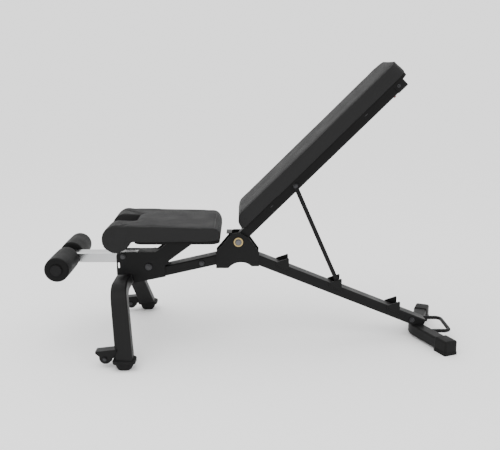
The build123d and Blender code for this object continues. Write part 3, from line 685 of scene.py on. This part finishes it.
# ---------------------------------------------------------------- hardware
@dataclass
class HexBolt:
    """A washer and a hexagon head, over the plain head of the frame's bolt.

    Attributes:
        name: Name of the piece.
        centre: Middle of the face that it sits on.
        outward: Direction that it points, along Y.
        across: Width across flats of the head, in metres.
        height: Height of the head, in metres.
        washer: Radius of the washer, in metres.
        body: Body that it rides on.
    """

    name: str
    centre: Vector
    outward: float
    across: float
    height: float
    washer: float
    body: str
    washer_height: float = 0.0012

    def build(self, paint: Paintbox, finish: Finish) -> bpy.types.Object:
        """Make the bolt head and put it on its body."""
        bm = bmesh.new()
        turn = Matrix.Translation(self.centre + Vector((0.0, self.outward * self.washer_height / 2, 0.0)))
        turn = turn @ Matrix.Rotation(math.radians(90), 4, "X")
        bmesh.ops.create_cone(bm, cap_ends=True, segments=48, radius1=self.washer, radius2=self.washer,
                              depth=self.washer_height, matrix=turn)
        corner = self.across / math.sqrt(3)
        rise = self.washer_height + self.height / 2
        place = Matrix.Translation(self.centre + Vector((0.0, self.outward * rise, 0.0)))
        place = place @ Matrix.Rotation(math.radians(90), 4, "X")
        head = bmesh.ops.create_cone(bm, cap_ends=True, segments=6, radius1=corner, radius2=corner,
                                     depth=self.height, matrix=place)
        edges = list({edge for vert in head["verts"] for edge in vert.link_edges})
        bmesh.ops.bevel(bm, geom=edges, offset=0.0006, offset_type="OFFSET", segments=2, profile=0.5,
                        affect="EDGES", material=-1)
        bmesh.ops.recalc_face_normals(bm, faces=bm.faces)
        piece = mesh_piece(self.name, bm, smooth=False)
        paint.coat(piece, finish)
        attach(piece, self.body)
        return piece


@dataclass
class WeldBead:
    """A rippled weld along a joint between two frame members.

    Attributes:
        name: Name of the piece.
        path: Points of the joint, in order.
        body: Body that it rides on.
        radius: Radius of the bead, in metres.
        ripple: Distance between ripples, in metres.
        ripple_depth: Share of the radius by which the ripples swell.
        points_per_ripple: Number of points along one ripple.
    """

    name: str
    path: list[Vector]
    body: str
    radius: float = 0.0026
    ripple: float = 0.0032
    ripple_depth: float = 0.08
    points_per_ripple: int = 4

    def points(self) -> list[Vector]:
        """Points along the path at an even pitch."""
        fine = []
        for start, end in zip(self.path, self.path[1:]):
            steps = max(1, round((end - start).length * self.points_per_ripple / self.ripple))
            fine += [start.lerp(end, step / steps) for step in range(steps)]
        return fine + [self.path[-1]]

    def build(self, paint: Paintbox) -> None:
        """Make the bead and put it on its body."""
        line = self.points()
        bm = tube(line, self.radius, closed=False)
        bm.verts.ensure_lookup_table()
        for index, point in enumerate(line):
            swell = self.ripple_depth * math.sin(index * math.tau / self.points_per_ripple)
            for vert in bm.verts[index * CORD_SIDES : (index + 1) * CORD_SIDES]:
                vert.co += (vert.co - point) * swell
        piece = mesh_piece(self.name, bm)
        paint.coat(piece, POWDER_COAT)
        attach(piece, self.body)


def islands(node: str) -> list[tuple[Vector, Vector]]:
    """Boxes of a frame node's separate solids.

    Args:
        node: Frame node to look at.

    Returns:
        (lowest, highest) corner of each solid.
    """
    bm = copy_of_node("islands", node)
    left = set(bm.verts)
    boxes = []
    while left:
        edge_of_search = [left.pop()]
        found = []
        while edge_of_search:
            vert = edge_of_search.pop()
            found.append(vert.co.copy())
            for edge in vert.link_edges:
                other = edge.other_vert(vert)
                if other in left:
                    left.remove(other)
                    edge_of_search.append(other)
        boxes.append((Vector(map(min, zip(*found))), Vector(map(max, zip(*found)))))
    bm.free()
    return sorted(boxes, key=lambda corners: tuple(corners[0]))


@dataclass
class CrossBolts:
    """Hexagon heads on the ends of a node's bolts that lie along Y.

    Attributes:
        node: Frame node of the bolts.
        body: Body that they ride on.
        across: Width across flats, in metres.
        height: Height of the heads, in metres.
        washer: Radius of the washers, in metres.
        sides: Which ends get a head.
    """

    node: str
    body: str
    across: float
    height: float
    washer: float
    finish: Finish = BLACK_BOLT

    def build(self, paint: Paintbox) -> None:
        """Make the heads."""
        for number, (low, high) in enumerate(islands(self.node)):
            centre = (low + high) / 2
            ends = [(-1.0, low.y)] if centre.y < -0.001 else [(1.0, high.y)]
            if abs(centre.y) <= 0.001:
                ends = [(-1.0, low.y), (1.0, high.y)]
            for outward, face in ends:
                side = Side.LEFT if outward < 0 else Side.RIGHT
                name = f"{self.node}_head_{number}_{side.word}"
                place = Vector((centre.x, face, centre.z))
                HexBolt(name, place, outward, self.across, self.height, self.washer, self.body).build(
                    paint, self.finish
                )


@dataclass
class FrameWelds:
    """Beads under the side plates of the notch brackets, where they meet the beam.

    Attributes:
        brackets: Frame nodes whose side plates overlap the beam.
        step: Pitch at which a plate's edge is felt, in metres.
        inset: How far the bead's centre stands off the beam's side, in metres.
    """

    brackets: tuple[str, ...] = ("notch_bracket_upright", "notch_bracket_incline", "notch_bracket_flat")
    step: float = 0.003
    inset: float = 0.0008
    radius: float = 0.002

    def edge(self, node: str, side: Side) -> list[Vector]:
        """Points along the lower edge of a bracket's side plate."""
        source = copy_of_node("plate edge", node)
        tree = BVHTree.FromBMesh(source)
        source.free()
        low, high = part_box(node)
        beam_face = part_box("main_beam")[1][1]
        plate_middle = (beam_face + high[1]) / 2 * side.value
        count = round((high[0] - low[0]) / self.step)
        points = []
        for index in range(1, count):
            x = low[0] + (high[0] - low[0]) * index / count
            hit = tree.ray_cast(Vector((x, plate_middle, 0.0)), UP)[0]
            if hit is not None:
                points.append(Vector((x, (beam_face + self.inset) * side.value, hit.z)))
        return points

    def build(self, paint: Paintbox) -> None:
        """Make every bead."""
        for node in self.brackets:
            for side in Side:
                path = self.edge(node, side)
                if len(path) > 2:
                    WeldBead(f"weld_{node}_{side.word}", path, "frame", radius=self.radius).build(paint)


# ---------------------------------------------------------------- studio
@dataclass
class Studio:
    """Floor, lights and camera.

    Attributes:
        eye: Camera's place, in metres.
        pitch: How far the camera looks down, in degrees.
        yaw: How far it looks to the right of +Y, in degrees.
        lens: Focal length in millimetres on a 36 mm sensor.
    """

    eye: tuple[float, float, float] = (-0.045, -2.57215, 1.03247)
    pitch: float = 12.9
    yaw: float = 0.58
    lens: float = 50.0
    sensor: float = 36.0

    def camera(self) -> None:
        """Make the camera at the catalogue view's angle."""
        data = bpy.data.cameras.new("camera")
        data.lens = self.lens
        data.sensor_width = self.sensor
        camera = bpy.data.objects.new("camera", data)
        camera.location = self.eye
        camera.rotation_euler = (math.radians(90 - self.pitch), 0.0, math.radians(-self.yaw))
        bpy.context.scene.collection.objects.link(camera)
        bpy.context.scene.camera = camera

    def floor(self) -> None:
        """Make the pale floor."""
        bm = bmesh.new()
        bmesh.ops.create_grid(bm, x_segments=1, y_segments=1, size=14.0)
        ground = mesh_piece("studio_floor", bm, smooth=False)
        material = bpy.data.materials.new("studio_floor")
        material.use_nodes = True
        shader = material.node_tree.nodes["Principled BSDF"]
        shader.inputs["Base Color"].default_value = (1.0, 1.0, 1.0, 1.0)
        shader.inputs["Roughness"].default_value = 0.9
        shader.inputs["Specular IOR Level"].default_value = 0.1
        ground.data.materials.append(material)

    def soft_light(self, kind: Light, place: tuple[float, float, float], size: float, power: float) -> None:
        """Add a square area light that faces the bench.

        Args:
            kind: Which light it is.
            place: Its position.
            size: Its side, in metres.
            power: Its power, in watts.
        """
        data = bpy.data.lights.new(kind.value, "AREA")
        data.size = size
        data.energy = power
        light = bpy.data.objects.new(kind.value, data)
        light.location = place
        aim = Vector((0.0, 0.0, 0.4)) - Vector(place)
        light.rotation_euler = aim.to_track_quat("-Z", "Y").to_euler()
        bpy.context.scene.collection.objects.link(light)

    def build(self) -> None:
        """Make the whole studio."""
        self.camera()
        self.floor()
        world = bpy.data.worlds.new("studio")
        world.use_nodes = True
        world.node_tree.nodes["Background"].inputs["Color"].default_value = (1.0, 1.0, 1.0, 1.0)
        world.node_tree.nodes["Background"].inputs["Strength"].default_value = 1.7
        bpy.context.scene.world = world
        self.soft_light(Light.KEY, (-1.2, -1.4, 3.6), 2.6, 34.0)
        self.soft_light(Light.FILL, (2.4, -2.6, 1.6), 2.0, 8.0)
        self.soft_light(Light.BACK, (-0.8, 0.4, 3.4), 2.4, 10.0)


def main() -> None:
    """Build the bench's looks in order."""
    logging.basicConfig(level=logging.INFO)
    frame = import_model()
    Studio().build()
    paint = Paintbox()
    FrameNodes().dress(frame, paint)
    pivot = middle_of("pivot_bolt")
    button = next(joint for joint in frame["joints"] if joint["name"] == "release_button_press")
    back_out = Vector(button["axis"])
    back_along = Vector((back_out.z, 0.0, -back_out.x))
    log.info("pivot at %s", pivot)
    Cushion("seat_cover", "seat_cushion", "frame", UP, Vector((1.0, 0.0, 0.0)), tilt=-0.0265).build(paint)
    Cushion("backrest_cover", "backrest_cushion", "backrest", back_out, back_along).build(paint)
    for side in Side:
        FoamRoller(side).build(paint)
    for bolts in (
        CrossBolts("hub_bolts", "frame", 0.013, 0.003, 0.0085),
        CrossBolts("beam_bolts", "frame", 0.013, 0.003, 0.0085),
        CrossBolts("wheel_bolts", "frame", 0.01, 0.0025, 0.0062),
        CrossBolts("prop_bolt", "prop", 0.01, 0.0025, 0.0062),
        CrossBolts("pivot_bolt", "main_pivot", 0.017, 0.0035, 0.0105, ZINC),
    ):
        bolts.build(paint)
    FrameWelds().build(paint)


if __name__ == "__main__":
    main()
